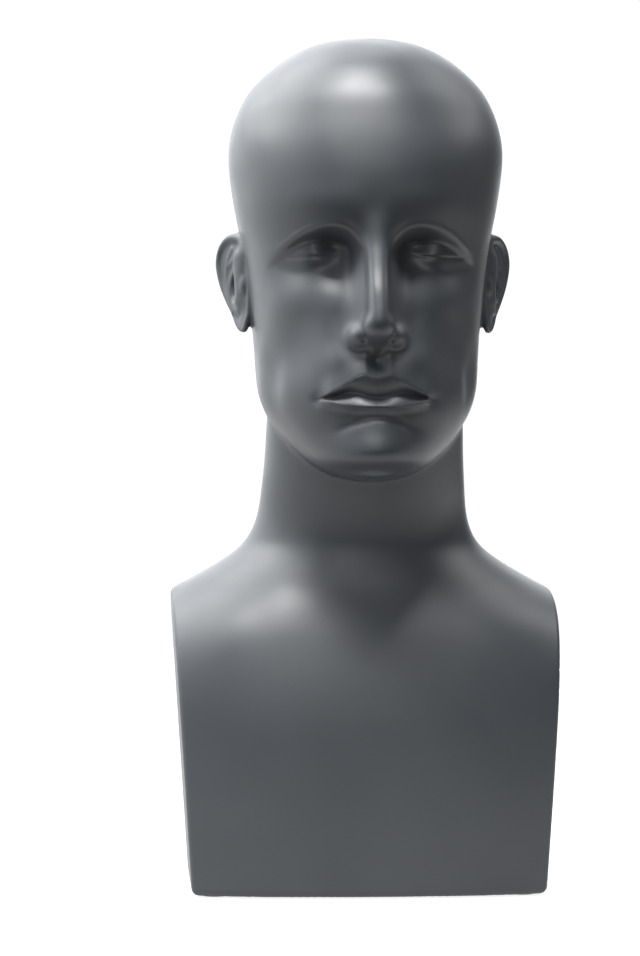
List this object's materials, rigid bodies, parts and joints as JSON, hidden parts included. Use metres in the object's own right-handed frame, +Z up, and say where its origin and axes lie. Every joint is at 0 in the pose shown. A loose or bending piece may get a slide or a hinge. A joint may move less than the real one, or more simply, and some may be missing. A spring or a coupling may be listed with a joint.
{
  "type": "mannequin head bust",
  "caption": "Bald display head on a neck and armless shoulders, a hollow painted shell that stands on its flat base and shows wigs, hats or eyewear.",
  "frame": {"origin": "centre of the base, on the plane that the rubber pads stand on", "axes": "+Z up through the crown, -Y the way the face looks, +X the head's own left"},
  "size_m": [0.2156, 0.2323, 0.4716],
  "materials": {
    "painted_shell": "satin charcoal-grey sprayed lacquer on glass-fibre laminate",
    "resin_putty": "cured polyester putty",
    "raw_laminate": "bare glass-fibre tape in resin",
    "hardboard": "smooth brown hardboard",
    "softwood": "sawn softwood",
    "zinc_steel": "zinc-plated",
    "rubber": "self-adhesive black rubber"
  },
  "bodies": {
    "root": {"front_shell": "painted_shell", "rear_shell": "painted_shell", "left_ear": "painted_shell", "right_ear": "painted_shell", "left_ear_bond": "resin_putty", "right_ear_bond": "resin_putty", "crown_seam_tape": "raw_laminate", "left_seam_tape": "raw_laminate", "right_seam_tape": "raw_laminate", "base_panel": "hardboard", "front_cleat": "softwood", "rear_cleat": "softwood", "left_cleat": "softwood", "right_cleat": "softwood", "front_cleat_tab": "raw_laminate", "rear_cleat_tab": "raw_laminate", "panel_screws": "zinc_steel", "rubber_feet": "rubber"}
  },
  "joints": []
}
